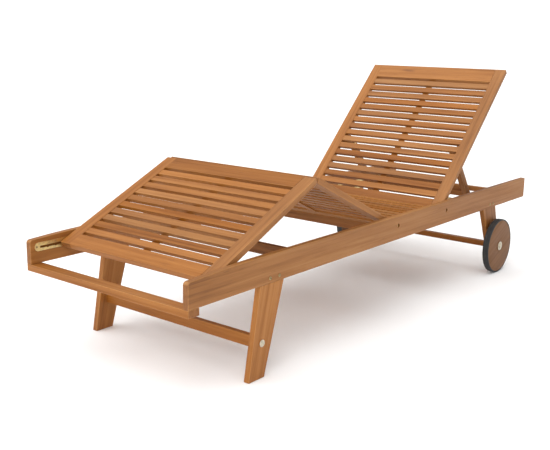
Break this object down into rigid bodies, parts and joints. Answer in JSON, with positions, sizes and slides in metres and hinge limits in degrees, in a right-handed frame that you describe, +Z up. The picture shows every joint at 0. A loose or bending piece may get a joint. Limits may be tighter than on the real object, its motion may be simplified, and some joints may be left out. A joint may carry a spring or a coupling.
{
  "type": "reclining sun lounger",
  "caption": "Slatted hardwood sun lounger with a propped reclining backrest, a folding knee-raised leg rest, splayed front legs and a pair of solid wheels at the head end.",
  "frame": {"origin": "on the floor, under the middle of the lounger's outline", "axes": "+X to the side across the lounger, +Y along it towards the head end, +Z up"},
  "size_m": [0.7028, 1.95, 0.7655],
  "materials": {
    "oiled_hardwood": "oiled satin",
    "zinc_plated_steel": "yellow zinc plate",
    "black_rubber": "matt"
  },
  "bodies": {
    "frame": {"axle_beam": "oiled_hardwood", "axle_fittings": "zinc_plated_steel", "axle_rod": "zinc_plated_steel", "foot_bar": "oiled_hardwood", "foot_slide_plate_left": "zinc_plated_steel", "foot_slide_plate_right": "zinc_plated_steel", "frame_screws": "zinc_plated_steel", "front_leg_left": "oiled_hardwood", "front_leg_right": "oiled_hardwood", "front_stretcher": "oiled_hardwood", "head_rail": "oiled_hardwood", "knee_beam": "oiled_hardwood", "prop_slide_plate_left": "zinc_plated_steel", "prop_slide_plate_right": "zinc_plated_steel", "rear_leg_left": "oiled_hardwood", "rear_leg_right": "oiled_hardwood", "seat_batten": "oiled_hardwood", "seat_beam_front": "oiled_hardwood", "seat_beam_rear": "oiled_hardwood", "seat_cleat_left": "oiled_hardwood", "seat_cleat_right": "oiled_hardwood", "seat_slats": "oiled_hardwood", "side_rail_left": "oiled_hardwood", "side_rail_right": "oiled_hardwood"},
    "backrest": {"back_stile_left": "oiled_hardwood", "back_stile_right": "oiled_hardwood", "back_top_rail": "oiled_hardwood", "back_bottom_rail": "oiled_hardwood", "back_slats": "oiled_hardwood", "back_batten": "oiled_hardwood", "back_pivot_bolts": "zinc_plated_steel", "prop_block_left": "oiled_hardwood", "prop_block_right": "oiled_hardwood", "prop_pivot_bolts": "zinc_plated_steel"},
    "prop": {"prop_leg_left": "oiled_hardwood", "prop_leg_right": "oiled_hardwood", "prop_crossbar": "oiled_hardwood", "prop_pin_rod": "zinc_plated_steel"},
    "thigh": {"thigh_stile_left": "oiled_hardwood", "thigh_stile_right": "oiled_hardwood", "thigh_knee_rail": "oiled_hardwood", "thigh_seat_rail": "oiled_hardwood", "thigh_slats": "oiled_hardwood", "thigh_batten": "oiled_hardwood", "thigh_pivot_bolts": "zinc_plated_steel", "thigh_hinge_leaves": "zinc_plated_steel"},
    "calf": {"calf_stile_left": "oiled_hardwood", "calf_stile_right": "oiled_hardwood", "calf_knee_rail": "oiled_hardwood", "calf_foot_rail": "oiled_hardwood", "calf_slats": "oiled_hardwood", "calf_batten": "oiled_hardwood", "calf_foot_pins": "zinc_plated_steel", "calf_hinge_leaves": "zinc_plated_steel"},
    "wheel_left": {"wheel_disc_left": "oiled_hardwood", "tyre_left": "black_rubber", "wheel_bush_left": "zinc_plated_steel"},
    "wheel_right": {"wheel_disc_right": "oiled_hardwood", "tyre_right": "black_rubber", "wheel_bush_right": "zinc_plated_steel"}
  },
  "joints": [
    {"name": "back_recline", "type": "hinge", "parent": "frame", "child": "backrest", "pos_m": [0, 0.298, 0.298], "axis": [1, 0, 0], "range_deg": [-45, 15]},
    {"name": "prop_fold", "type": "hinge", "parent": "backrest", "child": "prop", "pos_m": [0, 0.50024, 0.46913], "axis": [1, 0, 0], "range_deg": [-32.6, 97.7]},
    {"name": "thigh_lift", "type": "hinge", "parent": "frame", "child": "thigh", "pos_m": [0, -0.027, 0.298], "axis": [-1, 0, 0], "range_deg": [-25, 0]},
    {"name": "knee_fold", "type": "hinge", "parent": "thigh", "child": "calf", "pos_m": [0, -0.44499, 0.48298], "axis": [-1, 0, 0], "range_deg": [0, 50]},
    {"name": "wheel_left_spin", "type": "hinge", "parent": "frame", "child": "wheel_left", "pos_m": [-0.33275, 0.6915, 0.1032], "axis": [1, 0, 0], "continuous": true},
    {"name": "wheel_right_spin", "type": "hinge", "parent": "frame", "child": "wheel_right", "pos_m": [0.33275, 0.6915, 0.1032], "axis": [1, 0, 0], "continuous": true}
  ],
  "couplings": [
    {"joint": "prop_fold", "follows": "back_recline", "ratio": -2.171},
    {"joint": "knee_fold", "follows": "thigh_lift", "ratio": -2}
  ]
}
